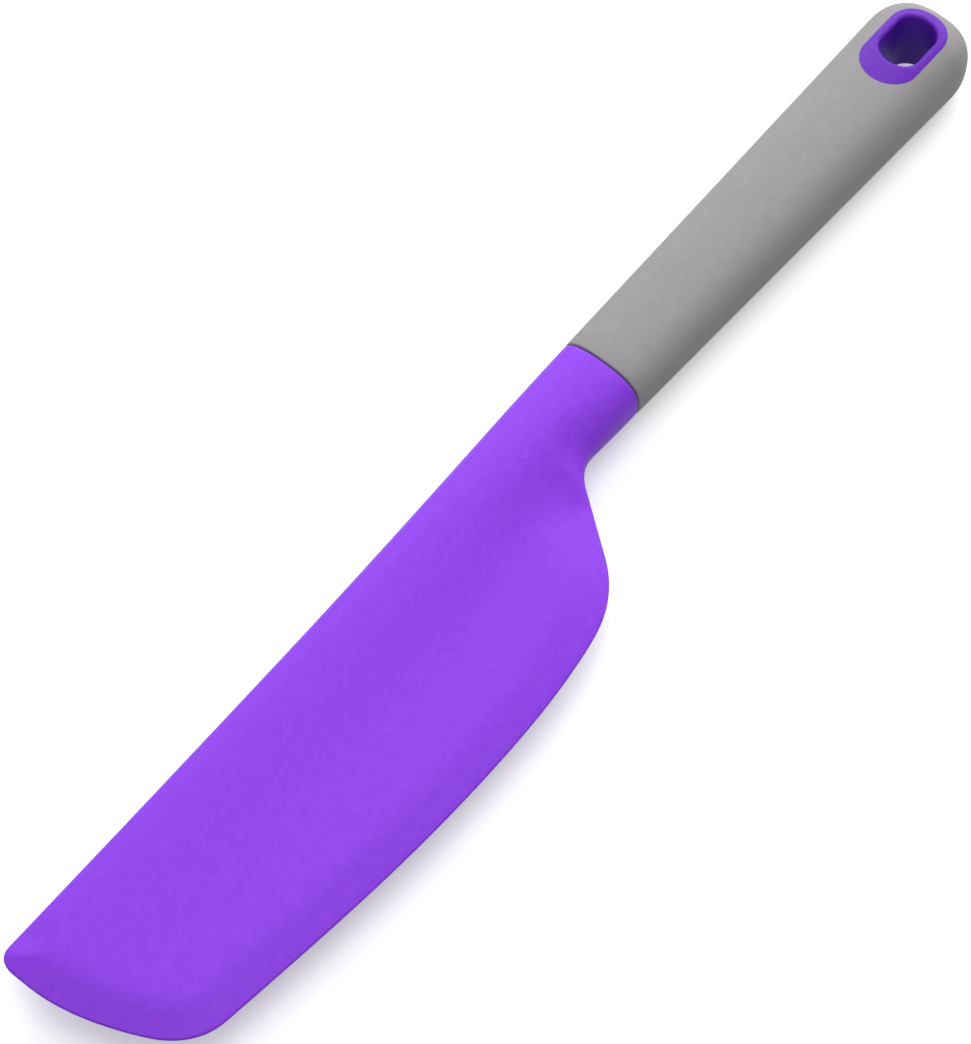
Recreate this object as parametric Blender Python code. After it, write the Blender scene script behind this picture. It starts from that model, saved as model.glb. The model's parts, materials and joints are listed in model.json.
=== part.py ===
"""Silicone spatula: a knife-shaped silicone blade moulded on a stiff core, with a soft-grip handle.

+X runs from the blade's tip to the butt of the handle, +Y towards the straight spine and +Z up.
Sizes are in metres. While the pieces are drawn, x = 0 is the seam between blade and handle.
At the end one empty moves them all, so that the origin lies under the middle of the spatula.
"""

import math
from typing import NamedTuple

import bmesh
import bpy
import numpy as np

MM = 0.001

# Overall lengths on either side of the seam
HEAD_LENGTH = 197.6 * MM
HANDLE_LENGTH = 133.0 * MM
SEAM_GAP = 0.3 * MM
CLEARANCE = 0.3 * MM

# Handle section: half sizes at the seam and at the butt, and how square the section is
SEAM_HALF_WIDTH = 11.4 * MM
SEAM_HALF_THICKNESS = 8.5 * MM
BUTT_HALF_WIDTH = 13.9 * MM
BUTT_HALF_THICKNESS = 11.1 * MM
SECTION_POWER = 2.67
BUTT_ROUND_LENGTH = 13.8 * MM
BUTT_ROUND_POWER = 2.3
SEAM_EDGE_ROUND = 0.5 * MM

# Blade outline, seen from above
COLLAR_LENGTH = 16.5 * MM
NECK_FILLET_LENGTH = 9.6 * MM
NECK_FILLET_DEPTH = 5.8 * MM
SLOPE_LENGTH = 15.8 * MM
SLOPE_ANGLE = 53.5
SHOULDER_TO_WIDEST = 45.0 * MM
SHOULDER_RISE = 3.6 * MM
BLADE_WIDTH = 54.3 * MM
WIDEST_AT = 99.0 * MM
SPINE_AT_WIDEST = 8.7 * MM
SPINE_AT_TIP = 7.6 * MM
BELLY_RISE_AT_CORNER = 5.5 * MM
CORNER_TO_NOSE = 21.6 * MM
CORNER_LENGTH = 13.8 * MM
CORNER_DEPTH = 10.5 * MM
NOSE_BELOW_AXIS = 2.0 * MM
SPINE_CORNER_LENGTH = 4.1 * MM

# Blade thickness
CREST_AT_TIP = 1.8 * MM
CREST_EDGE_DEPTH = 8.0 * MM
CREST_EDGE_POWER = 2.3
FLANK_LENGTH = 36.0 * MM
FLANK_FORMED_AT = 50.0 * MM
NECK_END = 80.0 * MM
NECK_WEB_HALF_THICKNESS = 4.2 * MM
WEB_HALF_THICKNESS = 2.6 * MM
LIP_RADIUS = 0.65 * MM
BEVEL_LENGTH = 9.5 * MM
TIP_BEVEL_LENGTH = 10.4 * MM
FLANK_BLEND_POWER = 4

# Stiff core inside the blade, and the barbed tang that carries it in the handle
CORE_EDGE_INSET = 10.0 * MM
CORE_SPINE_INSET = 3.4 * MM
CORE_SKIN_AT_WEB = 1.4 * MM
CORE_SKIN_AT_COLLAR = 2.2 * MM
BLADE_WINDOW_LENGTH = 15.0 * MM
BLADE_WINDOW_WIDTH = 7.0 * MM
BLADE_WINDOW_FIRST = 56.0 * MM
BLADE_WINDOW_BRIDGE = 9.0 * MM
BLADE_WINDOW_LAND = 3.5 * MM
TANG_LENGTH = 48.0 * MM
TANG_HALF_WIDTH = 5.0 * MM
TANG_HALF_THICKNESS = 2.8 * MM
TANG_POWER = 4.0
BARB_COUNT = 4
BARB_PITCH = 9.0 * MM
BARB_LENGTH = 5.0 * MM
BARB_HEIGHT = 0.6 * MM

# Handle core inside the grip, and the eyelet that it lines the hang hole with
GRIP_WALL = 2.6 * MM
EYELET_LENGTH = 25.6 * MM
EYELET_WIDTH = 15.5 * MM
EYELET_FROM_BUTT = 17.4 * MM
HOLE_LENGTH = 15.5 * MM
HOLE_WIDTH = 10.8 * MM
HOLE_OFFSET = 1.9 * MM
HOLE_RIM_RADIUS = 1.2 * MM
HOLE_RIM_STEPS = 4
RIM_OVERSHOOT = 0.2 * MM
GRIP_WINDOW_LENGTH = 9.0 * MM
GRIP_WINDOW_WIDTH = 6.0 * MM
GRIP_WINDOW_BRIDGE = 6.0 * MM

# Mesh fineness: steps across a section, and stations along the spatula
OUTER_STEPS = 20
HIDDEN_STEPS = 10
COLLAR_STATIONS = 3
FILLET_STATIONS = 9
SLOPE_STATIONS = 15
BELLY_STATIONS = 17
CORNER_STATIONS = 10
NOSE_STATIONS = 12
CORE_NECK_STATIONS = 4
CORE_SLOPE_STATIONS = 14
CORE_BLADE_STATIONS = 12
SHAFT_STATIONS = 10
BUTT_STATIONS = 12
HIDDEN_SHAFT_STATIONS = 8
HIDDEN_BUTT_STATIONS = 6
PAST_SHOULDER = 6.0 * MM
BEFORE_CORNER = 5.0 * MM
BEFORE_NOSE = 2.0 * MM
SEAM_EDGE_ANGLES = (0.0, 30.0, 60.0)
CURVE_SAMPLES = 40
EYELET_ARC_STEPS = 17
WINDOW_ARC_STEPS = 9
SMOOTH_ANGLE = 40.0

# A curve's usual hold, the distance at which points are one, and how far a cutter runs past a face
HOLD = 0.35
MERGE_DISTANCE = 0.0005 * MM
PAST_FACE = 3.0 * MM

# Plastics: name, linear colour and roughness
SILICONE = ("moulded_silicone", (0.29, 0.07, 0.84), 0.5)
NYLON = ("nylon", (0.55, 0.53, 0.50), 0.45)
POLYPROPYLENE = ("polypropylene", (0.20, 0.055, 0.53), 0.35)
SOFT_TOUCH = ("soft_touch_rubber", (0.37, 0.36, 0.37), 0.7)

COLLECTION_NAME = "silicone_spatula"


def clear_scene():
    for old in list(bpy.data.objects):
        bpy.data.objects.remove(old, do_unlink=True)


def new_collection(name):
    collection = bpy.data.collections.new(name)
    bpy.context.scene.collection.children.link(collection)
    return collection


# Curves drawn from a few knots


def heading(degrees):
    return np.array((math.cos(math.radians(degrees)), math.sin(math.radians(degrees))))


class Knot(NamedTuple):
    """A point that a curve runs through, in a direction given in degrees.

    On each side the curve holds that direction for a share of the distance to the next knot.
    """

    x: float
    y: float
    turn: float
    hold_in: float = HOLD
    hold_out: float = HOLD


def bezier_chain(knots):
    """Points along a chain of Bezier curves."""
    points = []
    for knot, following in zip(knots, knots[1:]):
        start = np.array(knot[:2])
        end = np.array(following[:2])
        apart = np.linalg.norm(end - start)
        pull0 = start + heading(knot.turn) * knot.hold_out * apart
        pull1 = end - heading(following.turn) * following.hold_in * apart
        for step in range(CURVE_SAMPLES):
            t = step / CURVE_SAMPLES
            s = 1 - t
            points.append(s**3 * start + 3 * s * s * t * pull0 + 3 * s * t * t * pull1 + t**3 * end)
    points.append(np.array(knots[-1][:2]))
    return np.array(points)


def ease(value):
    """Smooth step from 0 to 1."""
    t = min(max(value, 0.0), 1.0)
    return t * t * (3 - 2 * t)


def between(start, end, share):
    return start + (end - start) * share


def handle_half_width(x):
    return between(SEAM_HALF_WIDTH, BUTT_HALF_WIDTH, x / HANDLE_LENGTH)


def handle_half_thickness(x):
    return between(SEAM_HALF_THICKNESS, BUTT_HALF_THICKNESS, x / HANDLE_LENGTH)


# The blade's outline runs from the collar's belly side, round the tip and back along the spine
BELLY_AT_WIDEST = SPINE_AT_WIDEST - BLADE_WIDTH
FILLET_END = np.array((-COLLAR_LENGTH - NECK_FILLET_LENGTH, -SEAM_HALF_WIDTH - NECK_FILLET_DEPTH))
SLOPE_END = FILLET_END + heading(180 + SLOPE_ANGLE) * SLOPE_LENGTH
CORNER = np.array((-HEAD_LENGTH + CORNER_TO_NOSE, BELLY_AT_WIDEST + BELLY_RISE_AT_CORNER))
SHOULDER_AT = -WIDEST_AT + SHOULDER_TO_WIDEST
BELLY_KNOTS = [
    Knot(0.0, -SEAM_HALF_WIDTH, turn=180.5),
    Knot(-COLLAR_LENGTH, -SEAM_HALF_WIDTH, turn=179.5, hold_out=0.37),
    Knot(*FILLET_END, turn=182 + SLOPE_ANGLE, hold_in=0.38, hold_out=0.3),
    Knot(*SLOPE_END, turn=182 + SLOPE_ANGLE, hold_in=0.3),
    Knot(SHOULDER_AT, BELLY_AT_WIDEST + SHOULDER_RISE, turn=191.5, hold_out=0.26),
    Knot(-WIDEST_AT, BELLY_AT_WIDEST, turn=180.0, hold_in=0.48, hold_out=0.36),
    Knot(*CORNER, turn=174.0, hold_in=0.33, hold_out=0.37),
]
END_KNOTS = [
    BELLY_KNOTS[-1],
    Knot(CORNER[0] - CORNER_LENGTH, CORNER[1] + CORNER_DEPTH, turn=116.5, hold_in=0.36, hold_out=0.31),
    Knot(-HEAD_LENGTH, -NOSE_BELOW_AXIS, turn=90.0, hold_in=0.33, hold_out=0.3),
    Knot(-HEAD_LENGTH + SPINE_CORNER_LENGTH, SPINE_AT_TIP, turn=0.5, hold_in=0.5),
]
SPINE_KNOTS = [
    END_KNOTS[-1],
    Knot(-WIDEST_AT, SPINE_AT_WIDEST, turn=0.9),
    Knot(0.0, SEAM_HALF_WIDTH, turn=1.2),
]
CREST_KNOTS = [
    Knot(0.0, SEAM_HALF_THICKNESS, turn=181.2, hold_out=0.3),
    Knot(-HEAD_LENGTH, CREST_AT_TIP, turn=181.7, hold_in=0.7),
]
BELLY_LINE = bezier_chain(BELLY_KNOTS)
END_LINE = bezier_chain(END_KNOTS)
SPINE_LINE = bezier_chain(SPINE_KNOTS)
CREST_LINE = bezier_chain(CREST_KNOTS)
NOSE = int(END_LINE[:, 0].argmin())
LOWER_SIDE = np.vstack([BELLY_LINE, END_LINE[:NOSE + 1]])[::-1]
UPPER_SIDE = np.vstack([END_LINE[NOSE:], SPINE_LINE])
OUTLINE = np.vstack([BELLY_LINE, END_LINE, SPINE_LINE])


def height_on(line, x):
    """Height of a left-to-right line at x."""
    return float(np.interp(x, line[:, 0], line[:, 1]))


def distance_to(line, x, y):
    """Shortest distance from a point to a run of straight pieces."""
    start = line[:-1]
    run = line[1:] - start
    to_point = np.array((x, y)) - start
    length = np.maximum((run * run).sum(axis=1), MERGE_DISTANCE**2)
    share = np.clip((to_point * run).sum(axis=1) / length, 0.0, 1.0)
    gap = to_point - run * share[:, None]
    return math.sqrt(float((gap * gap).sum(axis=1).min()))


# Thickness of the blade and of the handle at any point seen from above


def roll_off(value):
    """1 inside, falling in a curve to 0 at the edge."""
    return 1 - (1 - min(value, 1.0)) ** 2


def edge_arc(depth, radius):
    """Rounded edge: 0 at the outline, 1 once the radius is passed."""
    return math.sqrt(max(0.0, 1 - (1 - min(depth / radius, 1.0)) ** 2))


def superellipse(share, power):
    return (1 - min(max(share, 0.0), 1.0) ** power) ** (1 / power)


def crest_half(x, y):
    """The thick crest along the spine: the handle's section, drawn out into a long flank.

    The flank never runs past the outline, so that the collar's section closes at its belly side.
    """
    neck = ease(-x / NECK_END)
    top = height_on(UPPER_SIDE, x)
    edge_depth = between(handle_half_width(0.0), CREST_EDGE_DEPTH, neck)
    room = max(top - height_on(LOWER_SIDE, x) - edge_depth, LIP_RADIUS)
    flank = min(between(handle_half_width(0.0), FLANK_LENGTH, neck), room)
    inward = top - y
    height = height_on(CREST_LINE[::-1], x)
    if inward < edge_depth:
        power = between(SECTION_POWER, CREST_EDGE_POWER, neck)
        return height * superellipse(1 - inward / edge_depth, power)
    share = min((inward - edge_depth) / flank, 1.0)
    bell = 0.5 + 0.5 * math.cos(math.pi * share)
    return height * between(superellipse(share, SECTION_POWER), bell, ease(-x / FLANK_FORMED_AT))


def web_half(x, y):
    """The flat web, thicker in the neck, with a bevel that leaves the lip at the same slope all along."""
    thickness = between(NECK_WEB_HALF_THICKNESS, WEB_HALF_THICKNESS, ease(-x / NECK_END))
    bevel = BEVEL_LENGTH * (thickness - LIP_RADIUS) / (WEB_HALF_THICKNESS - LIP_RADIUS)
    depth = distance_to(OUTLINE, x, y)
    return between(LIP_RADIUS, thickness, roll_off(depth / bevel)) * edge_arc(depth, LIP_RADIUS)


def blade_half(x, y):
    """Half thickness of the blade: crest and web run together, and both thin out to the lip."""
    crest = crest_half(x, y) * roll_off(distance_to(END_LINE, x, y) / TIP_BEVEL_LENGTH)
    power = FLANK_BLEND_POWER
    return (web_half(x, y)**power + crest**power) ** (1 / power)


def handle_section(x, wall):
    """Half width and half thickness of the handle, drawn in by a wall all round."""
    round_start = HANDLE_LENGTH - BUTT_ROUND_LENGTH
    share = (x - round_start) / (BUTT_ROUND_LENGTH - wall)
    scale = superellipse(share, BUTT_ROUND_POWER)
    return (handle_half_width(x) - wall) * scale, (handle_half_thickness(x) - wall) * scale


def handle_half(x, y, wall=0.0):
    """Half thickness of the handle, drawn in by a wall."""
    half_width, half_thickness = handle_section(x, wall)
    if half_width <= MERGE_DISTANCE:
        return 0.0
    return half_thickness * superellipse(abs(y) / half_width, SECTION_POWER)


# Lofts: a row of closed sections along X, skinned into one closed body


def section(x, top, bottom, half_thickness, steps):
    """Out along the upper face and back along the lower one, with the points close at both edges."""
    middle = (top + bottom) / 2
    reach = (top - bottom) / 2
    across = [middle + reach * math.cos(math.pi * step / steps) for step in range(steps + 1)]
    upper = [(x, y, half_thickness(x, y)) for y in across]
    lower = [(x, y, -z) for x, y, z in reversed(upper)]
    return upper + lower


def shrink_section(points, amount):
    """Draw a section in by an amount all round."""
    half_width = max(abs(y) for _, y, _ in points)
    half_thickness = max(z for _, _, z in points)
    return [(x, y * (1 - amount / half_width), z * (1 - amount / half_thickness)) for x, y, z in points]


def seam_edge(face, section_at):
    """Sections that round off the edge of an end face at the seam."""
    inward = math.copysign(SEAM_EDGE_ROUND, face)
    sections = []
    for degrees in SEAM_EDGE_ANGLES:
        angle = math.radians(degrees)
        points = section_at(face + inward * (1 - math.cos(angle)))
        sections.append(shrink_section(points, SEAM_EDGE_ROUND * (1 - math.sin(angle))))
    return sections


def mesh_object(name, bm, collection):
    bmesh.ops.remove_doubles(bm, verts=bm.verts, dist=MERGE_DISTANCE)
    bmesh.ops.recalc_face_normals(bm, faces=bm.faces)
    mesh = bpy.data.meshes.new(name)
    bm.to_mesh(mesh)
    bm.free()
    piece = bpy.data.objects.new(name, mesh)
    collection.objects.link(piece)
    return piece


def loft(name, sections, collection):
    bm = bmesh.new()
    rings = [[bm.verts.new(point) for point in points] for points in sections]
    for ring, following in zip(rings, rings[1:]):
        for index, vert in enumerate(ring):
            after = (index + 1) % len(ring)
            bm.faces.new((vert, ring[after], following[after], following[index]))
    bm.faces.new(reversed(rings[0]))
    bm.faces.new(rings[-1])
    return mesh_object(name, bm, collection)


def prism(name, outline, half_height, collection):
    """Straight prism on an outline, standing on both sides of z = 0."""
    rings = [[(x, y, z) for x, y in outline] for z in (-half_height, half_height)]
    return loft(name, rings, collection)


def slot_outline(length, width, centre, grow, arc_steps):
    """Outline with a half circle at each end, grown outwards by an amount.

    With an odd number of steps round an end, no corner falls on the middle line of what it cuts.
    """
    reach = (length - width) / 2
    radius = width / 2 + grow
    points = []
    for side in (1, -1):
        for step in range(arc_steps + 1):
            angle = math.pi * (step / arc_steps - 0.5)
            points.append((centre[0] + side * (reach + radius * math.cos(angle)),
                           centre[1] + side * radius * math.sin(angle)))
    return points


def spread(start, end, count):
    """Even stations from start up to, but not at, the end."""
    return [between(start, end, step / count) for step in range(count)]


def closing(start, end, count):
    """Stations that crowd towards the end, for a rounded end."""
    return [between(start, end, math.sin(math.pi / 2 * step / count)) for step in range(count + 1)]


def join(piece, tool, operation):
    step = piece.modifiers.new(f"{operation.lower()}_{tool.name}", "BOOLEAN")
    step.operation = operation
    step.object = tool
    step.solver = "EXACT"


def as_cutter(tool):
    tool.hide_render = True
    tool.display_type = "WIRE"
    return tool


# The blade and what is inside it


def head_stations(seam_face):
    """Stations from the seam to the nose, close together where the outline turns."""
    ends = (
        (-COLLAR_LENGTH, COLLAR_STATIONS),
        (FILLET_END[0], FILLET_STATIONS),
        (SHOULDER_AT - PAST_SHOULDER, SLOPE_STATIONS),
        (CORNER[0] + BEFORE_CORNER, BELLY_STATIONS),
        (CORNER[0] - CORNER_LENGTH + BEFORE_NOSE, CORNER_STATIONS),
    )
    stations = []
    start = seam_face
    for end, count in ends:
        stations += spread(start, end, count)
        start = end
    return stations + closing(start, -HEAD_LENGTH, NOSE_STATIONS)


def head_section(x):
    return section(x, height_on(UPPER_SIDE, x), height_on(LOWER_SIDE, x), blade_half, OUTER_STEPS)


def core_top(x, inset):
    """Height under the spine that stays an inset away from it."""
    return height_on(UPPER_SIDE, max(x, -HEAD_LENGTH + CORE_EDGE_INSET)) - inset


def core_bottom(x, inset, collar_inset):
    """Lowest height that a disc of the inset's radius, rolled round the working edge, leaves free."""
    edge = np.vstack([BELLY_LINE, END_LINE[:NOSE + 1]])
    near = edge[np.abs(edge[:, 0] - x) < inset]
    rolled = (near[:, 1] + np.sqrt(inset**2 - (near[:, 0] - x) ** 2)).max()
    neck = -handle_half_width(0.0) + collar_inset
    return min(float(rolled), neck)


def core_half(grow):
    """Half thickness of the blade's core: the blade's own, less a skin that thickens with it."""
    def half(x, y):
        body = blade_half(x, y)
        share = (body - WEB_HALF_THICKNESS) / (SEAM_HALF_THICKNESS - WEB_HALF_THICKNESS)
        skin = between(CORE_SKIN_AT_WEB, CORE_SKIN_AT_COLLAR, max(share, 0.0))
        return body - skin + grow
    return half


def core_sections(grow, seam_face):
    """Sections of the blade's core, or of its cavity when grown by the clearance.

    They are close together where the core's lower edge swings out below the neck.
    """
    tip = -HEAD_LENGTH + CORE_EDGE_INSET
    slope = FILLET_END[0]
    shoulder = SHOULDER_AT - PAST_SHOULDER
    stations = [seam_face] + spread(0.0, slope, CORE_NECK_STATIONS)[1:]
    stations += spread(slope, shoulder, CORE_SLOPE_STATIONS)
    stations += spread(shoulder, tip, CORE_BLADE_STATIONS) + [tip - grow]
    half = core_half(grow)
    sections = []
    for x in stations:
        inner = min(x, 0.0)
        top = core_top(inner, CORE_SPINE_INSET - grow)
        bottom = core_bottom(inner, CORE_EDGE_INSET - grow, CORE_SPINE_INSET - grow)
        points = section(inner, top, bottom, half, HIDDEN_STEPS)
        sections.append([(x, y, z) for _, y, z in points])
    return sections


def tang_section(x, grow):
    half_width = TANG_HALF_WIDTH + grow
    half_thickness = TANG_HALF_THICKNESS + grow

    def half(_, y):
        return half_thickness * superellipse(abs(y) / half_width, TANG_POWER)
    return section(x, half_width, -half_width, half, HIDDEN_STEPS)


def tang_sections():
    """Plain tang with a row of barbs that rise slowly and drop back at once."""
    start = -SEAM_GAP / 2
    sections = [tang_section(start, 0.0)]
    first = start + TANG_LENGTH - BARB_COUNT * BARB_PITCH
    for barb in range(BARB_COUNT):
        heel = first + barb * BARB_PITCH
        sections.append(tang_section(heel, 0.0))
        sections.append(tang_section(heel, BARB_HEIGHT))
        sections.append(tang_section(heel + BARB_LENGTH, 0.0))
    sections.append(tang_section(start + TANG_LENGTH - BARB_HEIGHT, 0.0))
    sections.append(tang_section(start + TANG_LENGTH, -BARB_HEIGHT))
    return sections


def row_along(start, end, length, bridge):
    """Centres of as many openings as fit between two ends, with even bridges between them."""
    count = max(int((end - start + bridge) / (length + bridge)), 0)
    spare = (end - start - count * length) / max(count - 1, 1)
    return [start + length / 2 + index * (length + spare) for index in range(count)]


def blade_window_places():
    """Centres of the openings in the blade's core, a fixed land away from its lower edge."""
    last = HEAD_LENGTH - CORE_EDGE_INSET - 2 * BLADE_WINDOW_LAND
    places = []
    for from_seam in row_along(BLADE_WINDOW_FIRST, last, BLADE_WINDOW_LENGTH, BLADE_WINDOW_BRIDGE):
        ends = (-from_seam - BLADE_WINDOW_LENGTH / 2, -from_seam + BLADE_WINDOW_LENGTH / 2)
        low = max(core_bottom(x, CORE_EDGE_INSET, CORE_SPINE_INSET) for x in ends)
        places.append((-from_seam, low + BLADE_WINDOW_LAND + BLADE_WINDOW_WIDTH / 2))
    return places


def cut_windows(piece, places, length, width, shrink, cutters):
    """Round-ended openings straight through a piece, narrower by an amount all round."""
    for index, place in enumerate(places):
        outline = slot_outline(length, width, place, -shrink, WINDOW_ARC_STEPS)
        tool = prism(f"{piece.name}_window_{index + 1}", outline, BUTT_HALF_THICKNESS, cutters)
        join(piece, as_cutter(tool), "DIFFERENCE")


def make_blade_core(parts, cutters):
    """Tapered stiffener with a row of bonding windows, and the barbed tang at its seam end."""
    core = loft("blade_core", core_sections(0.0, -SEAM_GAP / 2)[::-1] + tang_sections(), parts)
    cut_windows(core, blade_window_places(), BLADE_WINDOW_LENGTH, BLADE_WINDOW_WIDTH, 0.0, cutters)
    return core


def make_silicone_blade(parts, cutters):
    """Skin with the core's cavity, which is open at the collar, and posts through the core's windows."""
    face = -SEAM_GAP / 2
    stations = head_stations(face - SEAM_EDGE_ROUND)
    sections = seam_edge(face, head_section) + [head_section(x) for x in stations]
    blade = loft("silicone_blade", sections[::-1], parts)
    cavity = as_cutter(loft("blade_cavity", core_sections(CLEARANCE, PAST_FACE)[::-1], cutters))
    cut_windows(cavity, blade_window_places(), BLADE_WINDOW_LENGTH, BLADE_WINDOW_WIDTH, CLEARANCE, cutters)
    join(blade, cavity, "DIFFERENCE")
    return blade


# The handle


def handle_ring(x, wall, steps):
    """One closed section of the handle, drawn in by a wall."""
    half_width = handle_section(x, wall)[0]
    return section(x, half_width, -half_width, lambda x, y: handle_half(x, y, wall), steps)


def handle_sections(wall, start, steps, shaft_stations, butt_stations):
    """Sections of the handle drawn in by a wall, from a start to its rounded butt."""
    round_start = HANDLE_LENGTH - BUTT_ROUND_LENGTH
    stations = spread(start, round_start, shaft_stations)
    stations += closing(round_start, HANDLE_LENGTH - wall, butt_stations)
    return [handle_ring(x, wall, steps) for x in stations]


def inner_handle_sections(wall, start):
    return handle_sections(wall, start, HIDDEN_STEPS, HIDDEN_SHAFT_STATIONS, HIDDEN_BUTT_STATIONS)


def handle_form(name, collection):
    """Outside of the whole handle, with the edge at the seam rounded."""
    face = SEAM_GAP / 2
    edge = seam_edge(face, lambda x: handle_ring(x, 0.0, OUTER_STEPS))
    body = handle_sections(0.0, face + SEAM_EDGE_ROUND, OUTER_STEPS, SHAFT_STATIONS, BUTT_STATIONS)
    return loft(name, edge + body, collection)


def eyelet_outline(grow):
    centre = (HANDLE_LENGTH - EYELET_FROM_BUTT, 0.0)
    return slot_outline(EYELET_LENGTH, EYELET_WIDTH, centre, grow, EYELET_ARC_STEPS)


def hang_hole_cutter(cutters):
    """Hole through both faces, opening out at each face in a rounded rim that follows the face."""
    centre = (HANDLE_LENGTH - EYELET_FROM_BUTT + HOLE_OFFSET, 0.0)
    levels = [(HOLE_RIM_RADIUS, -PAST_FACE), (HOLE_RIM_RADIUS, -RIM_OVERSHOOT)]
    for step in range(1, HOLE_RIM_STEPS + 1):
        angle = math.pi / 2 * step / HOLE_RIM_STEPS
        levels.append((HOLE_RIM_RADIUS * (1 - math.sin(angle)), HOLE_RIM_RADIUS * (1 - math.cos(angle))))
    rings = []
    for grow, depth in levels:
        outline = slot_outline(HOLE_LENGTH, HOLE_WIDTH, centre, grow, EYELET_ARC_STEPS)
        rings.append([(x, y, handle_half(x, y) - depth) for x, y in outline])
    lower = [[(x, y, -z) for x, y, z in ring] for ring in reversed(rings)]
    return as_cutter(loft("hang_hole", rings + lower, cutters))


def grip_window_places():
    """Openings through the handle core, between the end of the tang's socket and the eyelet."""
    start = TANG_LENGTH + GRIP_WINDOW_BRIDGE
    end = HANDLE_LENGTH - EYELET_FROM_BUTT - EYELET_LENGTH / 2 - GRIP_WINDOW_BRIDGE
    return [(x, 0.0) for x in row_along(start, end, GRIP_WINDOW_LENGTH, GRIP_WINDOW_BRIDGE)]


def socket_cutter(cutters):
    grow = BARB_HEIGHT + CLEARANCE
    ends = (-PAST_FACE, TANG_LENGTH + CLEARANCE)
    return as_cutter(loft("tang_socket", [tang_section(x, grow) for x in ends], cutters))


def make_handle_core(form, parts, cutters):
    """Stiff bar with the tang's socket, bonding windows and the eyelet round the hang hole."""
    core = loft("handle_core", inner_handle_sections(GRIP_WALL, SEAM_GAP / 2), parts)
    eyelet = as_cutter(prism("eyelet_boss", eyelet_outline(0.0), 2 * BUTT_HALF_THICKNESS, cutters))
    join(eyelet, form, "INTERSECT")
    join(core, eyelet, "UNION")
    join(core, hang_hole_cutter(cutters), "DIFFERENCE")
    join(core, socket_cutter(cutters), "DIFFERENCE")
    cut_windows(core, grip_window_places(), GRIP_WINDOW_LENGTH, GRIP_WINDOW_WIDTH, 0.0, cutters)
    return core


def make_grip_sleeve(parts, cutters):
    """Soft grip over the handle core, with a window round the eyelet on both faces."""
    grip = handle_form("grip_sleeve", parts)
    space = as_cutter(loft("grip_cavity", inner_handle_sections(GRIP_WALL - CLEARANCE, -PAST_FACE), cutters))
    cut_windows(space, grip_window_places(), GRIP_WINDOW_LENGTH, GRIP_WINDOW_WIDTH, CLEARANCE, cutters)
    eyelet = as_cutter(prism("eyelet_space", eyelet_outline(CLEARANCE), 2 * BUTT_HALF_THICKNESS, cutters))
    join(grip, space, "DIFFERENCE")
    join(grip, eyelet, "DIFFERENCE")
    return grip


# Finish and placing


def paint(piece, plastic):
    name, colour, roughness = plastic
    material = bpy.data.materials.new(name)
    material.use_nodes = True
    shader = material.node_tree.nodes["Principled BSDF"]
    shader.inputs["Base Color"].default_value = (*colour, 1.0)
    shader.inputs["Roughness"].default_value = roughness
    shader.inputs["Metallic"].default_value = 0.0
    piece.data.materials.append(material)


def smooth(piece):
    piece.data.shade_smooth()
    piece.data.set_sharp_from_angle(angle=math.radians(SMOOTH_ANGLE))


def place_on_origin(parts, cutters):
    """Put the origin under the middle of the finished spatula, on the surface that it lies on."""
    view = bpy.context.evaluated_depsgraph_get()
    corners = []
    for piece in parts.objects:
        finished = piece.evaluated_get(view).to_mesh()
        points = np.array([vert.co for vert in finished.vertices])
        corners += [points.min(axis=0), points.max(axis=0)]
    low = np.min(corners, axis=0)
    high = np.max(corners, axis=0)
    origin = bpy.data.objects.new("spatula_origin", None)
    origin.location = (-(low[0] + high[0]) / 2, -(low[1] + high[1]) / 2, -low[2])
    for piece in list(parts.objects) + list(cutters.objects):
        piece.parent = origin
    parts.objects.link(origin)


def main():
    clear_scene()
    parts = new_collection(COLLECTION_NAME)
    cutters = new_collection(f"{COLLECTION_NAME}_cutters")
    form = as_cutter(handle_form("handle_form", cutters))
    blade = make_silicone_blade(parts, cutters)
    blade_core = make_blade_core(parts, cutters)
    handle_core = make_handle_core(form, parts, cutters)
    grip = make_grip_sleeve(parts, cutters)
    plastics = {blade: SILICONE, blade_core: NYLON, handle_core: POLYPROPYLENE, grip: SOFT_TOUCH}
    for piece, plastic in plastics.items():
        paint(piece, plastic)
        smooth(piece)
    place_on_origin(parts, cutters)


main()
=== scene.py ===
"""Looks of a silicone spatula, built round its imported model.

The silicone blade, the soft grip and the handle core with its eyelet are each made again with a
fine surface, in the space of the node that they stand for. The blade also gets the real one's plane
bevel and fine lip, where the model rolls off softly. The stiff core inside the blade stays as it is.
Lengths are in metres, +X runs from the blade's tip to the butt of the handle, +Y towards the
straight spine and +Z up.
"""

import json
import math

import bmesh
import bpy
from mathutils import Matrix, Vector
from mathutils.bvhtree import BVHTree

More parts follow.
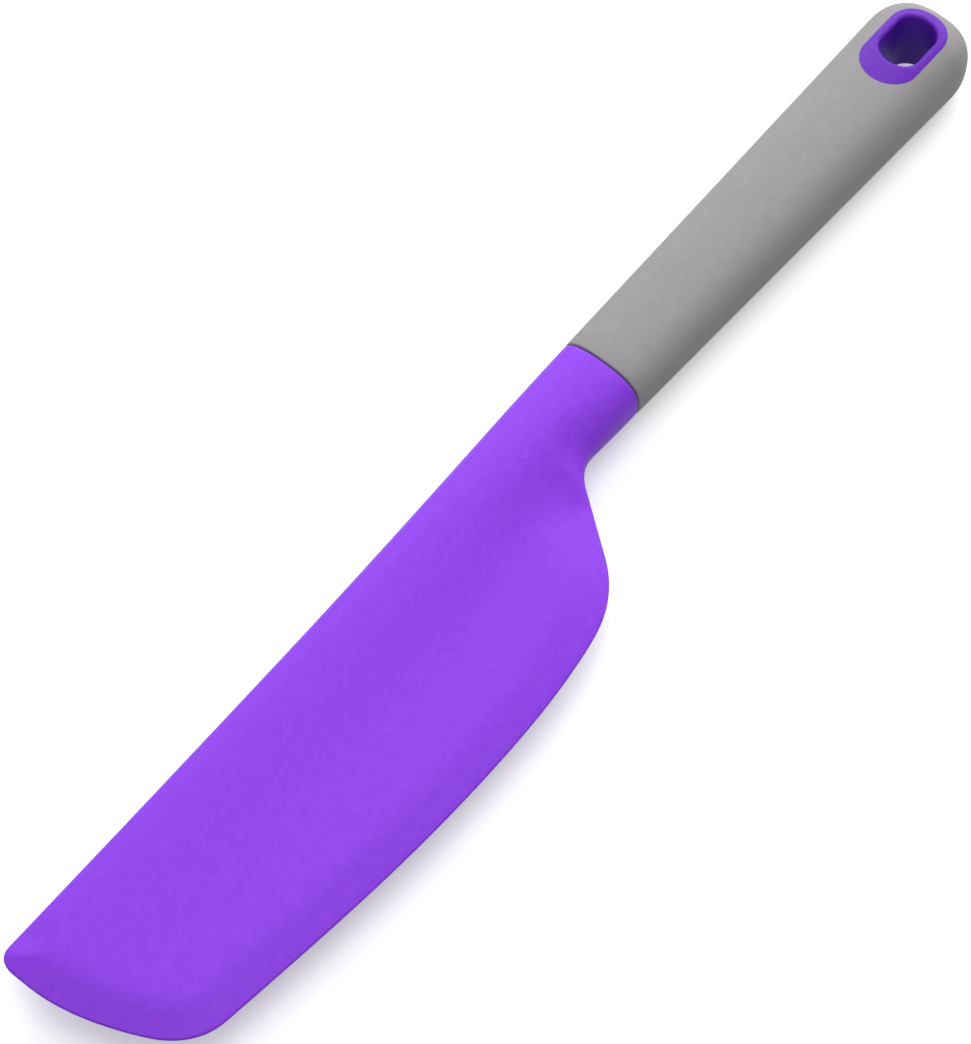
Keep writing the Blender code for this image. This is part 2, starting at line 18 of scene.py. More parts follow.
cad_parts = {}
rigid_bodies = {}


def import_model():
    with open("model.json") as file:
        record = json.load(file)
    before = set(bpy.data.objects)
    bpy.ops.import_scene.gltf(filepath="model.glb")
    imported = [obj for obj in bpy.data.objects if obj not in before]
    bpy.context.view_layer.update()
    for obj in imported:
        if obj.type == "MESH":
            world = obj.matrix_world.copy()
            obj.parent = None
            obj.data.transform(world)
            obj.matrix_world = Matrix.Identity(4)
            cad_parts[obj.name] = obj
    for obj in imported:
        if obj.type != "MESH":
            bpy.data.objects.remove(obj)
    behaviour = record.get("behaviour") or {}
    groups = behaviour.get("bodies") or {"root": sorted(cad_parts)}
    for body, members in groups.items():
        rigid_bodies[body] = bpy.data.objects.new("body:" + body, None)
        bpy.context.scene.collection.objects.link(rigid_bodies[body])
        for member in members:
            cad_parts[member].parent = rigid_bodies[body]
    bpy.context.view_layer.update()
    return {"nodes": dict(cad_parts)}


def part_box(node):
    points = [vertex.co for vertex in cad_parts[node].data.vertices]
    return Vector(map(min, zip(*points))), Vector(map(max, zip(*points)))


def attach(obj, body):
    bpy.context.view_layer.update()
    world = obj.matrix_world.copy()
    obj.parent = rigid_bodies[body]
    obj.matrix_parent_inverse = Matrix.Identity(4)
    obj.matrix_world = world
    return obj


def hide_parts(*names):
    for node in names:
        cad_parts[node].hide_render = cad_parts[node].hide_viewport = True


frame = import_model()

MM = 0.001

# Where the handle lies, from the frame
GRIP_LOW, GRIP_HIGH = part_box("grip_sleeve")
BLADE_LOW, BLADE_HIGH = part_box("silicone_blade")
AXIS = Vector((0.0, (GRIP_LOW.y + GRIP_HIGH.y) / 2, (GRIP_LOW.z + GRIP_HIGH.z) / 2))
SEAM = (GRIP_LOW.x + BLADE_HIGH.x) / 2
BUTT = GRIP_HIGH.x
HANDLE_LENGTH = BUTT - SEAM

# Handle section, as on the model: half sizes at the seam and at the butt, and how square it is
SEAM_HALF_WIDTH = 11.4 * MM
SEAM_HALF_THICKNESS = 8.5 * MM
BUTT_HALF_WIDTH = 13.9 * MM
BUTT_HALF_THICKNESS = 11.1 * MM
SECTION_POWER = 2.67
BUTT_ROUND_LENGTH = 13.8 * MM
BUTT_ROUND_START = BUTT - BUTT_ROUND_LENGTH
BUTT_ROUND_POWER = 2.3
SEAM_EDGE_ROUND = 0.5 * MM
GRIP_WALL = 2.6 * MM
CLEARANCE = 0.3 * MM

# Eyelet round the hang hole, the fine joint between it and the grip, and the hole
EYELET_LENGTH = 25.6 * MM
EYELET_WIDTH = 15.5 * MM
EYELET_CENTRE = BUTT - 17.4 * MM
EYELET_JOINT = 0.03 * MM
HOLE_LENGTH = 15.5 * MM
HOLE_WIDTH = 10.8 * MM
HOLE_CENTRE = EYELET_CENTRE + 1.9 * MM
HOLE_RIM = 1.2 * MM
RIM_LAND = 1.6 * MM
RIM_ANGLE = math.radians(45)

# Socket for the tang of the blade's core
SOCKET_LENGTH = 48.3 * MM
SOCKET_HALF_WIDTH = 5.9 * MM
SOCKET_HALF_THICKNESS = 3.7 * MM
SOCKET_EDGE = 1.5 * MM

# How the model's blade thins out towards its edge, and where the corners at the tip are
MODEL_LIP_RADIUS = 0.65 * MM
MODEL_BEVEL_LENGTH = 9.5 * MM
TIP_BEVEL_LENGTH = 10.4 * MM
WEB_HALF_THICKNESS = 2.6 * MM
NECK_WEB_HALF_THICKNESS = 4.2 * MM
NECK_END = 80.0 * MM
FLANK_BLEND_POWER = 4
CORNER_TO_NOSE = 21.6 * MM
SPINE_CORNER_LENGTH = 4.1 * MM

# The real edge: a finer lip and a plane bevel, whose crease a higher power makes sharper
LIP_RADIUS = 0.4 * MM
BEVEL_LENGTH = 8.2 * MM
BEVEL_POWER = 8
COLLAR_KEPT = 10.0 * MM
WALL_HEIGHT = 20.0 * MM

# Fineness of the meshes
SECTION_POINTS = 128
SHAFT_STATIONS = 24
BUTT_STATIONS = 28
EDGE_STATIONS = 4
END_POINTS = 48
STRAIGHT_CUTS = 10
LAND_RINGS = 3
RIM_SEGMENTS = 8
SOCKET_SEGMENTS = 4
SKIN_LEVELS = 2
QUAD_ANGLE = math.radians(40)
END_FACING = 0.9
END_INSET = 0.96
MERGE = 0.002 * MM
SMOOTH_ANGLE = math.radians(35)

# Pattern of the moulded surfaces: how rough the clouds and the grain are, and the clouds' contrast
CLOUD_DETAIL = 3.0
CLOUD_LOW = 0.35
CLOUD_HIGH = 0.65
GRAIN_DETAIL = 2.0

# The colour sockets of the Mix node, which shares their names with its other kinds
MIX_FIRST = 6
MIX_SECOND = 7
MIX_RESULT = 2

# Camera at the photograph's viewing angle
CAMERA_AZIMUTH = math.radians(-49.96)
CAMERA_ELEVATION = math.radians(61.0)
CAMERA_DISTANCE = 898.0 * MM
CAMERA_TARGET = Vector((-14.37, 12.2, 10.63)) * MM
CAMERA_LENS = 135.0
CAMERA_SENSOR = 36.0
CLIP_RANGE = 100

# Floor: the white that is seen, the grey that it throws back on the spatula, and its own glow when seen
WHITE = "#FFFFFF"
WHITE_STRENGTH = 1.0
FLOOR_SIZE = 30.0
FLOOR_ROUGHNESS = 0.9
FLOOR_SHINE = 0.0
FLOOR_BOUNCE = "#B4B4B4"
FLOOR_LIFT = 0.38

# Light: a wide softbox behind the spatula on its handle side, a small one overhead, and the world
WORLD_STRENGTH = 0.335
BACK_BOX_PLACE = (0.95, 0.617, 0.823)
BACK_BOX_SIZE = (2.4, 0.9)
BACK_BOX_POWER = 20.3
TOP_BOX_PLACE = (0.0, 0.0, 1.4)
TOP_BOX_SIZE = (0.8, 0.8)
TOP_BOX_POWER = 4.8


# Selecting and finishing


def pick(*objects):
    """Select these objects alone, with the first as the active one."""
    bpy.ops.object.select_all(action="DESELECT")
    for item in objects:
        item.select_set(True)
    bpy.context.view_layer.objects.active = objects[0]


def edit(piece):
    pick(piece)
    bpy.ops.object.mode_set(mode="EDIT")


def leave_edit():
    bpy.ops.object.mode_set(mode="OBJECT")


def select_where(piece, kind, test):
    """In edit mode, select only the vertices, edges or faces that pass a test."""
    bpy.ops.mesh.select_all(action="DESELECT")
    bpy.ops.mesh.select_mode(type=kind)
    cage = bmesh.from_edit_mesh(piece.data)
    items = {"VERT": cage.verts, "EDGE": cage.edges, "FACE": cage.faces}[kind]
    for item in items:
        item.select = test(item)
    cage.select_flush_mode()
    bmesh.update_edit_mesh(piece.data)


def modify(piece, kind, **settings):
    """Add a modifier with its settings and apply it."""
    pick(piece)
    step = piece.modifiers.new(kind.lower(), kind)
    for name, value in settings.items():
        setattr(step, name, value)
    bpy.ops.object.modifier_apply(modifier=step.name)


def cut_with(piece, tool, operation="DIFFERENCE"):
    modify(piece, "BOOLEAN", operation=operation, object=tool, solver="EXACT")


def discard(*objects):
    for item in objects:
        bpy.data.objects.remove(item, do_unlink=True)


def put_in_place(piece):
    """Move a piece that was drawn round the handle's axis to its place, and keep the place in its mesh."""
    pick(piece)
    bpy.ops.transform.translate(value=AXIS)
    bpy.ops.object.transform_apply(location=True, rotation=True, scale=True)


def dress(piece, material, node):
    """Smooth a finished piece, give it its material and its body, and hide the node that it stands for."""
    pick(piece)
    bpy.ops.object.shade_smooth_by_angle(angle=SMOOTH_ANGLE)
    piece.data.materials.clear()
    piece.data.materials.append(material)
    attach(piece, "root")
    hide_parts(node)


# The handle's form: one squared ring, drawn out along the axis and scaled at each station


def superellipse(share, power):
    return (1 - min(max(share, 0.0), 1.0) ** power) ** (1 / power)


def handle_size(x, wall):
    """Half width and half thickness of the handle at x, drawn in by a wall."""
    along = (x - SEAM) / HANDLE_LENGTH
    end = superellipse((x - BUTT_ROUND_START) / (BUTT_ROUND_LENGTH - wall), BUTT_ROUND_POWER)
    width = SEAM_HALF_WIDTH + (BUTT_HALF_WIDTH - SEAM_HALF_WIDTH) * along - wall
    thickness = SEAM_HALF_THICKNESS + (BUTT_HALF_THICKNESS - SEAM_HALF_THICKNESS) * along - wall
    return max(width * end, MERGE), max(thickness * end, MERGE)


def handle_stations(start, wall):
    """Even along the shaft, and crowding towards the round butt."""
    run = BUTT_ROUND_START - start
    shaft = [start + run * step / SHAFT_STATIONS for step in range(SHAFT_STATIONS)]
    reach = BUTT_ROUND_LENGTH - wall
    turns = [math.pi / 2 * step / BUTT_STATIONS for step in range(BUTT_STATIONS + 1)]
    return shaft + [BUTT_ROUND_START + reach * math.sin(turn) for turn in turns]


def edge_rings(start, wall, edge_round):
    """Sections through the rounded edge of the flat end, each with its place and half sizes."""
    rings = []
    for step in range(1, EDGE_STATIONS + 1):
        turn = math.pi / 2 * step / EDGE_STATIONS
        x = start + edge_round * (1 - math.cos(turn))
        width, thickness = handle_size(x, wall)
        inward = edge_round * (1 - math.sin(turn))
        rings.append((x, width - inward, thickness - inward))
    return rings


def square_ring(name, x, half_width, half_thickness):
    """A circle across the axis, squared up into the handle's section."""
    bpy.ops.object.select_all(action="DESELECT")
    bpy.ops.mesh.primitive_circle_add(vertices=SECTION_POINTS, radius=1.0, location=(x, 0, 0),
                                      rotation=(0, math.pi / 2, 0))
    ring = bpy.context.object
    ring.name = name
    bpy.ops.object.transform_apply(location=True, rotation=True, scale=True)
    for vert in ring.data.vertices:
        _, y, z = vert.co
        vert.co.y = half_width * math.copysign(abs(y) ** (2 / SECTION_POWER), y)
        vert.co.z = half_thickness * math.copysign(abs(z) ** (2 / SECTION_POWER), z)
    return ring


def handle_form(name, start, wall, edge_round):
    """The handle drawn in by a wall: a closed form with a flat end at the seam and a round butt."""
    width, thickness = handle_size(start, wall)
    at = (start, width - edge_round, thickness - edge_round)
    form = square_ring(name, *at)
    rings = edge_rings(start, wall, edge_round) if edge_round else []
    rings += [(x, *handle_size(x, wall)) for x in handle_stations(start + edge_round, wall)[1:]]
    edit(form)
    bpy.ops.mesh.select_all(action="SELECT")
    bpy.ops.mesh.edge_face_add()
    for ring in rings:
        bpy.ops.mesh.extrude_region_move(TRANSFORM_OT_translate={"value": (ring[0] - at[0], 0, 0)})
        bpy.ops.transform.resize(value=(1, ring[1] / at[1], ring[2] / at[2]), center_override=(0, 0, 0))
        at = ring
    bpy.ops.mesh.select_all(action="SELECT")
    bpy.ops.mesh.remove_doubles(threshold=MERGE)
    bpy.ops.mesh.normals_make_consistent(inside=False)
    leave_edit()
    return form


# The eyelet: a flat loop with straight sides, drawn down on the handle's form


def long_loop(name, grow, z):
    """A loop with straight sides and round ends, the eyelet's outline grown by an amount."""
    bpy.ops.object.select_all(action="DESELECT")
    radius = EYELET_WIDTH / 2
    bpy.ops.mesh.primitive_circle_add(vertices=2 * END_POINTS, radius=radius + grow,
                                      location=(EYELET_CENTRE, 0, z))
    loop = bpy.context.object
    loop.name = name
    bpy.ops.object.transform_apply(location=True, rotation=True, scale=True)
    half_straight = EYELET_LENGTH / 2 - radius
    edit(loop)
    for side in (-1, 1):
        select_where(loop, "VERT", lambda vert: (vert.co.x - EYELET_CENTRE) * side > MERGE)
        bpy.ops.transform.translate(value=(side * half_straight, 0, 0))
    select_where(loop, "VERT", lambda vert: abs(vert.co.x - EYELET_CENTRE) <= MERGE)
    bpy.ops.mesh.delete(type="VERT")
    reach = (radius + grow) * math.cos(math.pi / END_POINTS) - MERGE
    for side in (-1, 1):
        select_where(loop, "VERT", lambda vert: vert.co.y * side > reach)
        bpy.ops.mesh.edge_face_add()
        bpy.ops.mesh.subdivide(number_cuts=STRAIGHT_CUTS)
    leave_edit()
    return loop


def eyelet_prism(name, grow):
    """The eyelet's outline as a prism that stands out of both faces of the handle."""
    depth = 2 * BUTT_HALF_THICKNESS
    prism = long_loop(name, grow, -depth)
    edit(prism)
    bpy.ops.mesh.select_all(action="SELECT")
    bpy.ops.mesh.edge_face_add()
    bpy.ops.mesh.extrude_region_move(TRANSFORM_OT_translate={"value": (0, 0, 2 * depth)})
    bpy.ops.mesh.select_all(action="SELECT")
    bpy.ops.mesh.normals_make_consistent(inside=False)
    leave_edit()
    return prism


def is_rim(edge):
    """True on the two loops where the hole's wall meets the faces."""
    along, across, _ = (edge.verts[0].co + edge.verts[1].co) / 2 - Vector((HOLE_CENTRE, 0, 0))
    half_length = (HOLE_LENGTH + RIM_LAND) / 2
    half_width = (HOLE_WIDTH + RIM_LAND) / 2
    inside = math.hypot(along / half_length, across / half_width) < 1
    return inside and edge.is_manifold and edge.calc_face_angle() > RIM_ANGLE


def eyelet_liner(form):
    """The eyelet: rings from its outline in to the hole, laid on the form, then walls to the middle."""
    liner = long_loop("eyelet_liner", -EYELET_JOINT, 2 * BUTT_HALF_THICKNESS)
    outline = Vector((EYELET_LENGTH, EYELET_WIDTH, EYELET_CENTRE))
    land = Vector((HOLE_LENGTH + 2 * RIM_LAND, HOLE_WIDTH + 2 * RIM_LAND, HOLE_CENTRE))
    rings = [outline.lerp(land, (step + 1) / LAND_RINGS) for step in range(LAND_RINGS)]
    rings.append(Vector((HOLE_LENGTH, HOLE_WIDTH, HOLE_CENTRE)))
    at = outline
    edit(liner)
    bpy.ops.mesh.select_all(action="SELECT")
    for ring in rings:
        bpy.ops.mesh.extrude_edges_move(TRANSFORM_OT_translate={"value": (ring.z - at.z, 0, 0)})
        bpy.ops.transform.resize(value=(ring.x / at.x, ring.y / at.y, 1), center_override=(ring.z, 0, 0))
        at = ring
    leave_edit()
    modify(liner, "SHRINKWRAP", target=form, wrap_method="PROJECT", use_project_z=True,
           use_negative_direction=True, use_positive_direction=False)
    edit(liner)
    bpy.ops.mesh.select_all(action="SELECT")
    bpy.ops.mesh.region_to_loop()
    bpy.ops.mesh.extrude_edges_move(TRANSFORM_OT_translate={"value": (0, 0, 0)})
    bpy.ops.transform.resize(value=(1, 1, 0), center_override=(0, 0, 0))
    leave_edit()
    modify(liner, "MIRROR", use_axis=(False, False, True), merge_threshold=MERGE)
    edit(liner)
    bpy.ops.mesh.select_all(action="SELECT")
    bpy.ops.mesh.normals_make_consistent(inside=False)
    select_where(liner, "EDGE", is_rim)
    bpy.ops.mesh.bevel(offset=HOLE_RIM, segments=RIM_SEGMENTS, affect="EDGES", clamp_overlap=False)
    leave_edit()
    return liner


def handle_core(form, material):
    """The stiff bar inside the grip, with the tang's socket, and the eyelet at its end."""
    bar = handle_form("handle_bar", GRIP_LOW.x, GRIP_WALL, 0.0)
    gap = eyelet_prism("eyelet_gap", -RIM_LAND)
    cut_with(bar, gap)
    bpy.ops.object.select_all(action="DESELECT")
    bpy.ops.mesh.primitive_cube_add(size=2.0, location=(SEAM, 0, 0))
    socket = bpy.context.object
    bpy.ops.transform.resize(value=(SOCKET_LENGTH, SOCKET_HALF_WIDTH, SOCKET_HALF_THICKNESS))
    bpy.ops.object.transform_apply(location=True, rotation=True, scale=True)
    modify(socket, "BEVEL", width=SOCKET_EDGE, segments=SOCKET_SEGMENTS)
    cut_with(bar, socket)
    liner = eyelet_liner(form)
    cut_with(bar, liner, "UNION")
    discard(gap, socket, liner)
    bar.name = "handle_core_with_eyelet"
    put_in_place(bar)
    dress(bar, material, "handle_core")


def grip(form, material):
    """The soft sleeve: the handle's form, less the bar's space and a window round the eyelet."""
    space = handle_form("bar_space", GRIP_LOW.x - SEAM_EDGE_ROUND, GRIP_WALL - CLEARANCE, 0.0)
    window = eyelet_prism("eyelet_window", 0.0)
    cut_with(form, space)
    cut_with(form, window)
    discard(space, window)
    form.name = "soft_grip"
    put_in_place(form)
    dress(form, material, "grip_sleeve")


# The blade: the model's own faces, made fine, with the core's cavity cut out again


def split_shell(whole):
    """Take the outer skin off a merged copy of the blade's node, and leave its cavity."""
    edit(whole)
    end_at = BLADE_HIGH.x - SEAM_EDGE_ROUND / 2
    select_where(whole, "FACE",
                 lambda face: face.normal.x > END_FACING and face.calc_center_median().x > end_at)
    bpy.ops.mesh.delete(type="FACE")
    tip_at = BLADE_LOW.x + MERGE
    select_where(whole, "VERT", lambda vert: vert.co.x < tip_at)
    bpy.ops.mesh.select_linked()
    bpy.ops.mesh.separate(type="SELECTED")
    leave_edit()
    skin = [item for item in bpy.context.selected_objects if item is not whole][0]
    return skin, whole


def close_end(shell, step, outward):
    """Close the open loop at the collar, moved along the axis by a step."""
    edit(shell)
    bpy.ops.mesh.select_all(action="DESELECT")
    bpy.ops.mesh.select_mode(type="EDGE")
    bpy.ops.mesh.select_non_manifold()
    bpy.ops.mesh.extrude_edges_move(TRANSFORM_OT_translate={"value": (step, 0, 0)})
    if not outward:
        middle = (BLADE_HIGH.x, AXIS.y, AXIS.z)
        bpy.ops.transform.resize(value=(1, END_INSET, END_INSET), center_override=middle)
    bpy.ops.mesh.edge_face_add()
    bpy.ops.mesh.select_all(action="SELECT")
    bpy.ops.mesh.normals_make_consistent(inside=False)
    leave_edit()


def edge_wall(skin, test):
    """An upright wall on the part of the skin's outline that passes a test, to measure depth from."""
    wall = skin.copy()
    wall.data = skin.data.copy()
    bpy.context.scene.collection.objects.link(wall)
    edit(wall)
    bpy.ops.mesh.select_all(action="SELECT")
    bpy.ops.mesh.bisect(plane_co=AXIS, plane_no=(0, 0, 1), clear_inner=True, clear_outer=True,
                        threshold=MERGE)
    select_where(wall, "VERT", lambda vert: not test(vert.co))
    bpy.ops.mesh.delete(type="VERT")
    bpy.ops.mesh.select_all(action="SELECT")
    bpy.ops.transform.translate(value=(0, 0, -WALL_HEIGHT / 2))
    bpy.ops.mesh.extrude_edges_move(TRANSFORM_OT_translate={"value": (0, 0, WALL_HEIGHT)})
    leave_edit()
    tree = BVHTree.FromObject(wall, bpy.context.evaluated_depsgraph_get())
    discard(wall)
    return tree


def on_outline(point):
    """True on the blade's outline, and not across the end of the collar."""
    return point.x < BLADE_HIGH.x - 2 * SEAM_EDGE_ROUND


def on_tip(point):
    """True on the outline from the belly's corner round the nose to the spine's corner."""
    from_nose = point.x - BLADE_LOW.x
    return from_nose < SPINE_CORNER_LENGTH or (from_nose < CORNER_TO_NOSE and point.y < AXIS.y)


def ease(value):
    """Smooth step from 0 to 1."""
    share = min(max(value, 0.0), 1.0)
    return share * share * (3 - 2 * share)


def soft_roll(share):
    """How the model's edge thins out: a curve from 0 at the edge to 1 at the roll's end."""
    return 1 - (1 - min(share, 1.0)) ** 2


def plane_bevel(share):
    """How the real edge thins out: evenly from 0 at the edge, with a crease near the bevel's end."""
    return share / (1 + share**BEVEL_POWER) ** (1 / BEVEL_POWER)


def thinned(web, lip, length, depth, profile):
    """Half thickness at a depth from the edge: a round lip, then a bevel of the same slope all along."""
    steepness = (web - lip) / (WEB_HALF_THICKNESS - lip)
    edge = math.sqrt(1 - (1 - min(depth / lip, 1.0)) ** 2)
    return (lip + (web - lip) * profile(depth / length / steepness)) * edge


def crease_bevel(skin):
    """Give the belly and the tip a plane bevel with a crease, in place of the model's soft roll.

    On the model a power blends the thinned web with the crest. The crest is taken out of that blend,
    bevelled towards the tip in the new way, and blended again with the web as it now thins out. The
    collar keeps the model's form.
    """
    outline = edge_wall(skin, on_outline)
    tip = edge_wall(skin, on_tip)
    power = FLANK_BLEND_POWER
    for vert in [item for item in skin.data.vertices if item.co.x < BLADE_HIGH.x - COLLAR_KEPT]:
        depth = outline.find_nearest(vert.co)[3]
        from_tip = max(tip.find_nearest(vert.co)[3], MERGE) / TIP_BEVEL_LENGTH
        neck = ease((SEAM - vert.co.x) / NECK_END)
        web = NECK_WEB_HALF_THICKNESS + (WEB_HALF_THICKNESS - NECK_WEB_HALF_THICKNESS) * neck
        soft = thinned(web, MODEL_LIP_RADIUS, MODEL_BEVEL_LENGTH, depth, soft_roll)
        plane = thinned(web, LIP_RADIUS, BEVEL_LENGTH, depth, plane_bevel)
        up = vert.co.z - AXIS.z
        crest = max(abs(up) ** power - soft**power, 0.0) ** (1 / power)
        crest *= plane_bevel(from_tip) / soft_roll(from_tip)
        vert.co.z = AXIS.z + math.copysign((plane**power + crest**power) ** (1 / power), up)


def blade(material):
    """The silicone blade with the cavity for its core."""
    node = frame["nodes"]["silicone_blade"]
    whole = node.copy()
    whole.data = node.data.copy()
    whole.parent = None
    bpy.context.scene.collection.objects.link(whole)
    edit(whole)
    bpy.ops.mesh.select_all(action="SELECT")
    bpy.ops.mesh.remove_doubles(threshold=MERGE)
    bpy.ops.mesh.tris_convert_to_quads(face_threshold=QUAD_ANGLE, shape_threshold=math.pi)
    leave_edit()
    skin, cavity = split_shell(whole)
    close_end(skin, 0.0, outward=False)
    modify(skin, "SUBSURF", levels=SKIN_LEVELS, render_levels=SKIN_LEVELS)
    crease_bevel(skin)
    close_end(cavity, 2 * SEAM_EDGE_ROUND, outward=True)
    cut_with(skin, cavity)
    discard(cavity)
    skin.name = "blade_skin"
    dress(skin, material, "silicone_blade")


# Materials


def linear(code):
    """A colour's sRGB hex code as linear red, green, blue and alpha."""
    channels = []
    for at in (1, 3, 5):
        share = int(code[at:at + 2], 16) / 255
        channels.append(share / 12.92 if share <= 0.04045 else ((share + 0.055) / 1.055) ** 2.4)
    return channels + [1.0]


def add_node(tree, kind, settings=None, values=None, links=None):
    """Add a node with its settings, its sockets' values and its links from other sockets."""
    made = tree.nodes.new(kind)
    for name, value in (settings or {}).items():
        setattr(made, name, value)
    for name, value in (values or {}).items():
        made.inputs[name].default_value = value
    for name, socket in (links or {}).items():
        tree.links.new(socket, made.inputs[name])
    return made


def new_material(name):
    material = bpy.data.materials.new(name)
    material.use_nodes = True
    return material, material.node_tree, material.node_tree.nodes["Principled BSDF"]


def moulded_surface(name, colours, cloud, grain, grain_depth, roughness, ior=1.5, specular=0.5):
    """A moulded plastic or rubber: two close colours in soft clouds, and a fine even grain.

    The cloud and the grain are the widths of their spots. A grain is too fine to show at its real
    size, so each is drawn several times as coarse.
    """
    material, tree, shader = new_material(name)
    place = add_node(tree, "ShaderNodeTexCoord").outputs["Object"]
    clouds = add_node(tree, "ShaderNodeTexNoise", values={"Scale": 1 / cloud, "Detail": CLOUD_DETAIL},
                      links={"Vector": place})
    specks = add_node(tree, "ShaderNodeTexNoise", values={"Scale": 1 / grain, "Detail": GRAIN_DETAIL},
                      links={"Vector": place})
    spread = add_node(tree, "ShaderNodeMapRange", values={"From Min": CLOUD_LOW, "From Max": CLOUD_HIGH},
                      links={"Value": clouds.outputs["Fac"]})
    colour = add_node(tree, "ShaderNodeMix", settings={"data_type": "RGBA"},
                      values={MIX_FIRST: linear(colours[0]), MIX_SECOND: linear(colours[1])},
                      links={"Factor": spread.outputs["Result"]})
    rough = add_node(tree, "ShaderNodeMapRange", values={"To Min": roughness[0], "To Max": roughness[1]},
                     links={"Value": specks.outputs["Fac"]})
    bump = add_node(tree, "ShaderNodeBump", values={"Strength": 1.0, "Distance": grain_depth},
                    links={"Height": specks.outputs["Fac"]})
    tree.links.new(colour.outputs[MIX_RESULT], shader.inputs["Base Color"])
    tree.links.new(rough.outputs["Result"], shader.inputs["Roughness"])
    tree.links.new(bump.outputs["Normal"], shader.inputs["Normal"])
    shader.inputs["IOR"].default_value = ior
    shader.inputs["Specular IOR Level"].default_value = specular
    return material


def moulded_silicone():
    # Silicone rubber from a blasted steel mould: violet right through, satin, with wide soft highlights,
    # a faint mottle and no sharp reflection. The grain of about 0.05 mm is drawn at 0.6 mm.
    return moulded_surface("moulded_silicone", colours=("#8F3BEE", "#9540F1"), cloud=1.8 * MM,
                           grain=0.6 * MM, grain_depth=0.01 * MM, roughness=(0.48, 0.56),
                           ior=1.41, specular=0.38)


def moulded_polypropylene():
    # Polypropylene from a smooth steel mould: one even, deeper violet, with a dull shine on the rim and
    # next to no grain. What grain it has, about 0.05 mm, is drawn at 0.5 mm and very shallow.
    return moulded_surface("moulded_polypropylene", colours=("#6A28BB", "#6D2BBE"), cloud=20 * MM,
                           grain=0.5 * MM, grain_depth=0.001 * MM, roughness=(0.4, 0.46),
                           specular=0.18)


def soft_touch_rubber():
    # Thermoplastic rubber moulded over the core, from an etched mould: a matt warm grey that takes the
    # light evenly, with no highlight. The etched grain of about 0.1 mm is drawn at 0.5 mm.
    return moulded_surface("soft_touch_rubber", colours=("#989698", "#9C9A9B"), cloud=3 * MM,
                           grain=0.5 * MM, grain_depth=0.012 * MM, roughness=(0.66, 0.78))


def natural_nylon():
    # Nylon without pigment, injection moulded: off-white and satin. It is hidden inside the blade. Its
    # grain of about 0.05 mm is drawn at 0.5 mm.
    return moulded_surface("natural_nylon", colours=("#C9C4BA", "#D0CCC2"), cloud=20 * MM,
                           grain=0.5 * MM, grain_depth=0.002 * MM, roughness=(0.4, 0.5))


# Floor, light and camera


def seen_directly(tree):
    """1 where the camera, a reflection or clear glass shows a surface, and 0 for its other light."""
    path = add_node(tree, "ShaderNodeLightPath")
    seen = add_node(tree, "ShaderNodeMath", settings={"operation": "MAXIMUM"},
                    links={0: path.outputs["Is Camera Ray"], 1: path.outputs["Is Glossy Ray"]})
    seen = add_node(tree, "ShaderNodeMath", settings={"operation": "MAXIMUM"},
                    links={0: seen.outputs[0], 1: path.outputs["Is Transmission Ray"]})
    return seen.outputs[0]


def make_floor():
    """A matt floor that is white where it is seen, keeps the shadow, and throws back less light."""
    bpy.ops.object.select_all(action="DESELECT")
    bpy.ops.mesh.primitive_plane_add(size=FLOOR_SIZE)
    floor = bpy.context.object
    floor.name = "floor"
    material, tree, shader = new_material("pale_floor")
    shader.inputs["Roughness"].default_value = FLOOR_ROUGHNESS
    shader.inputs["Specular IOR Level"].default_value = FLOOR_SHINE
    seen = seen_directly(tree)
    colour = add_node(tree, "ShaderNodeMix", settings={"data_type": "RGBA"},
                      values={MIX_FIRST: linear(FLOOR_BOUNCE), MIX_SECOND: linear(WHITE)},
                      links={"Factor": seen})
    tree.links.new(colour.outputs[MIX_RESULT], shader.inputs["Base Color"])
    glow = add_node(tree, "ShaderNodeMath", settings={"operation": "MULTIPLY"},
                    values={1: FLOOR_LIFT}, links={0: seen})
    shader.inputs["Emission Color"].default_value = linear(WHITE)
    tree.links.new(glow.outputs[0], shader.inputs["Emission Strength"])
    floor.data.materials.append(material)


def make_world():
    """Even light from all round, which is white where it is seen."""
    world = bpy.data.worlds.new("studio")
    world.use_nodes = True
    bpy.context.scene.world = world
    tree = world.node_tree
    light = tree.nodes["Background"]
    light.inputs["Color"].default_value = linear(WHITE)
    strength = add_node(tree, "ShaderNodeMapRange",
                        values={"To Min": WORLD_STRENGTH, "To Max": WHITE_STRENGTH},
                        links={"Value": seen_directly(tree)})
    tree.links.new(strength.outputs["Result"], light.inputs["Strength"])


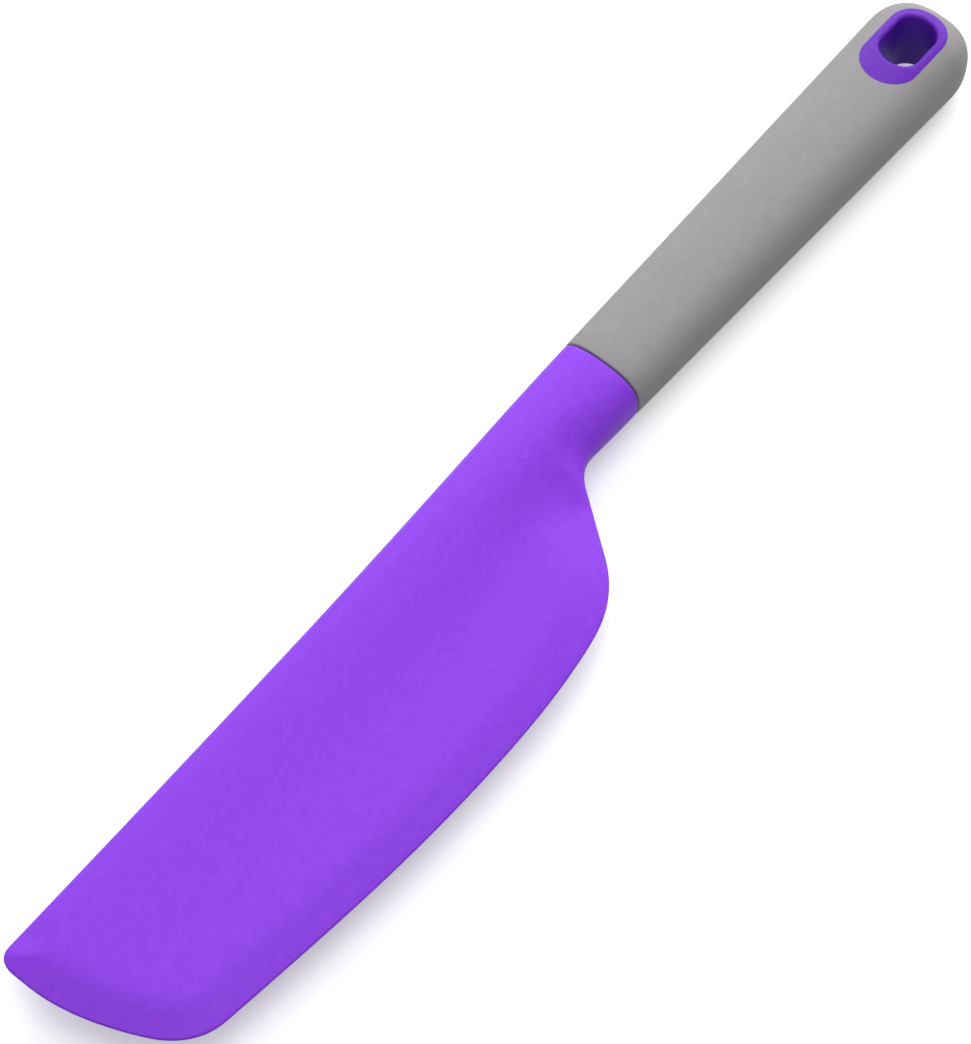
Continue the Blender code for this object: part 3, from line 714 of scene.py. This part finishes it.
def make_lamp(name, place, size, power):
    """A soft flat lamp, as wide and high as given, that points at the middle of the spatula."""
    data = bpy.data.lights.new(name, "AREA")
    data.shape = "RECTANGLE"
    data.size, data.size_y = size
    data.energy = power
    lamp = bpy.data.objects.new(name, data)
    lamp.location = place
    lamp.rotation_euler = (-Vector(place)).to_track_quat("-Z", "Y").to_euler()
    bpy.context.scene.collection.objects.link(lamp)


def make_camera():
    """The camera, turned by its azimuth and its height to look at the target."""
    data = bpy.data.cameras.new("camera")
    data.lens = CAMERA_LENS
    data.sensor_width = CAMERA_SENSOR
    data.sensor_fit = "AUTO"
    data.clip_start = CAMERA_DISTANCE / CLIP_RANGE
    data.clip_end = CAMERA_DISTANCE * CLIP_RANGE
    flat = math.cos(CAMERA_ELEVATION)
    back = Vector((math.sin(CAMERA_AZIMUTH) * flat, -math.cos(CAMERA_AZIMUTH) * flat,
                   math.sin(CAMERA_ELEVATION)))
    right = Vector((math.cos(CAMERA_AZIMUTH), math.sin(CAMERA_AZIMUTH), 0.0))
    turn = Matrix((right, back.cross(right), back)).transposed()
    camera = bpy.data.objects.new("camera", data)
    camera.matrix_world = Matrix.Translation(CAMERA_TARGET + back * CAMERA_DISTANCE) @ turn.to_4x4()
    bpy.context.scene.collection.objects.link(camera)
    bpy.context.scene.camera = camera


def main():
    bpy.ops.object.select_all(action="DESELECT")
    form = handle_form("handle_form", GRIP_LOW.x, 0.0, SEAM_EDGE_ROUND)
    handle_core(form, moulded_polypropylene())
    grip(form, soft_touch_rubber())
    blade(moulded_silicone())
    core = frame["nodes"]["blade_core"]
    core.data.materials.clear()
    core.data.materials.append(natural_nylon())
    make_floor()
    make_world()
    make_lamp("back_softbox", BACK_BOX_PLACE, BACK_BOX_SIZE, BACK_BOX_POWER)
    make_lamp("top_softbox", TOP_BOX_PLACE, TOP_BOX_SIZE, TOP_BOX_POWER)
    make_camera()
    bpy.context.scene.view_settings.view_transform = "Standard"
    bpy.context.view_layer.update()


main()
